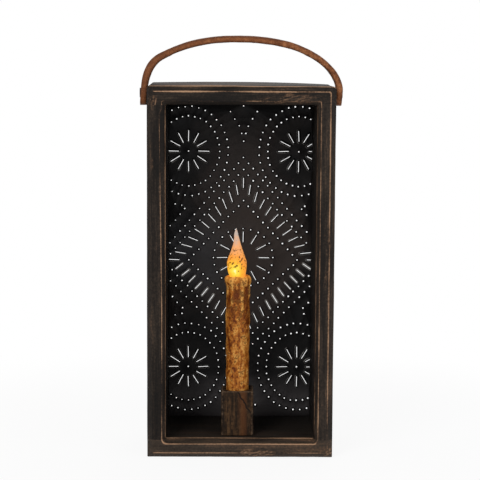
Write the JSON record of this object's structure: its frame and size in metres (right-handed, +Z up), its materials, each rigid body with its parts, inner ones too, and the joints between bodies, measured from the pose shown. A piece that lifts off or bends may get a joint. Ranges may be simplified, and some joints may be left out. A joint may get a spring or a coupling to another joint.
{
  "type": "punched tin lantern",
  "caption": "Open-fronted wooden lantern box with a punched tin back, an arched leather strap handle and a battery taper candle in a wooden block.",
  "frame": {"origin": "centre of the underside, on the surface that the lantern stands on", "axes": "+Z up, -Y out of the open front, +X to the right seen from the front"},
  "size_m": [0.1668, 0.0888, 0.344],
  "materials": {
    "stained_wood": "worn charcoal stain, satin",
    "block_wood": "dark brown stain, satin",
    "tin": "blackened tin, satin",
    "steel": "darkened steel",
    "leather": "saddle brown, burnished edges",
    "wax": "mottled ochre wax",
    "flame": "soft translucent dip, lit from inside",
    "tube_plastic": "ivory plastic",
    "cell_jacket": "plain jacket",
    "spring_brass": "plated",
    "board_laminate": "circuit laminate",
    "lamp_resin": "clear amber",
    "black_plastic": "black plastic"
  },
  "bodies": {
    "case": {"top_board": "stained_wood", "bottom_board": "stained_wood", "left_side_board": "stained_wood", "right_side_board": "stained_wood", "punched_tin_panel": "tin", "panel_tacks": "steel", "case_nails": "steel", "candle_holder": "block_wood", "holder_screw": "steel", "left_strap_screw": "steel", "right_strap_screw": "steel"},
    "handle": {"leather_strap": "leather"},
    "candle": {"wax_sleeve": "wax", "battery_tube": "tube_plastic", "lower_battery": "cell_jacket", "upper_battery": "cell_jacket", "contact_plate": "spring_brass", "battery_strip": "spring_brass", "circuit_board": "board_laminate", "led": "lamp_resin", "flame_bulb": "flame"},
    "candle_base": {"base_cap": "tube_plastic", "contact_spring": "spring_brass", "switch_body": "black_plastic"},
    "switch": {"switch_slider": "black_plastic"}
  },
  "joints": [
    {"name": "handle_swing", "type": "hinge", "parent": "case", "child": "handle", "pos_m": [0, 0, 0.297], "axis": [1, 0, 0], "range_deg": [-15, 15]},
    {"name": "candle_lift", "type": "slide", "parent": "case", "child": "candle", "axis": [0, 0, 1], "range_m": [0, 0.022]},
    {"name": "base_twist", "type": "hinge", "parent": "candle", "child": "candle_base", "pos_m": [-0.0021, -0.01625, 0.0329], "axis": [0, 0, 1], "range_deg": [0, 30]},
    {"name": "switch_slide", "type": "slide", "parent": "candle_base", "child": "switch", "axis": [1, 0, 0], "range_m": [0, 0.002]}
  ]
}
